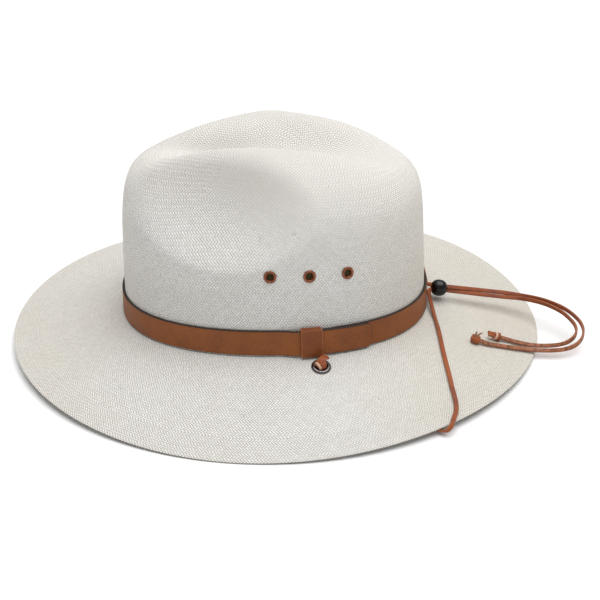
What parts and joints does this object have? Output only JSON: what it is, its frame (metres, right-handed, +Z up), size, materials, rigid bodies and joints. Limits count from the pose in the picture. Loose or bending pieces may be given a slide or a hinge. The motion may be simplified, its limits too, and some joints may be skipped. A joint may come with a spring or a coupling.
{
  "type": "panama hat",
  "caption": "Woven straw hat with a pinched teardrop crown, wide drooping brim, leather hatband with keeper, side vent eyelets and a leather chin cord drawn through a bead.",
  "frame": {"origin": "middle of the brim's outline, on the surface that the brim stands on", "axes": "+Z up, -Y towards the front of the hat, +Y towards the back, +X towards the wearer's left"},
  "size_m": [0.3232, 0.3913, 0.1446],
  "materials": {
    "straw": "pale bleached shantung straw, fine twill weave, light satin stiffener",
    "band_leather": "red-brown leather, black painted edges, semi-matt",
    "lace_leather": "dark brown flat lace with a paler flesh side",
    "eyelet_enamel": "dark brown enamel",
    "mesh_brass": "dark brass wire mesh",
    "grommet_nickel": "black nickel, polished",
    "sweatband_cotton": "tan cotton twill",
    "reed_tape": "brown covered reed",
    "bead_black": "glossy black"
  },
  "bodies": {
    "hat": {"brim_grommet_left": "grommet_nickel", "brim_grommet_right": "grommet_nickel", "brim_knot_left": "lace_leather", "brim_knot_right": "lace_leather", "chin_cord_left": "lace_leather", "chin_cord_right": "lace_leather", "grommet_washer_left": "grommet_nickel", "grommet_washer_right": "grommet_nickel", "hatband_keeper": "band_leather", "hatband_strap": "band_leather", "straw_body": "straw", "sweatband": "sweatband_cotton", "sweatband_reed": "reed_tape", "tail_knot_left": "lace_leather", "tail_knot_right": "lace_leather", "vent_eyelet_left_front": "eyelet_enamel", "vent_eyelet_left_middle": "eyelet_enamel", "vent_eyelet_left_rear": "eyelet_enamel", "vent_eyelet_right_front": "eyelet_enamel", "vent_eyelet_right_middle": "eyelet_enamel", "vent_eyelet_right_rear": "eyelet_enamel", "vent_mesh_left_front": "mesh_brass", "vent_mesh_left_middle": "mesh_brass", "vent_mesh_left_rear": "mesh_brass", "vent_mesh_right_front": "mesh_brass", "vent_mesh_right_middle": "mesh_brass", "vent_mesh_right_rear": "mesh_brass", "vent_washer_left_front": "eyelet_enamel", "vent_washer_left_middle": "eyelet_enamel", "vent_washer_left_rear": "eyelet_enamel", "vent_washer_right_front": "eyelet_enamel", "vent_washer_right_middle": "eyelet_enamel", "vent_washer_right_rear": "eyelet_enamel"},
    "bead": {"cord_bead": "bead_black"}
  },
  "joints": [
    {"name": "bead_slide", "type": "slide", "parent": "hat", "child": "bead", "axis": [0, 0.9903, -0.1386], "range_m": [0, 0.04]}
  ]
}
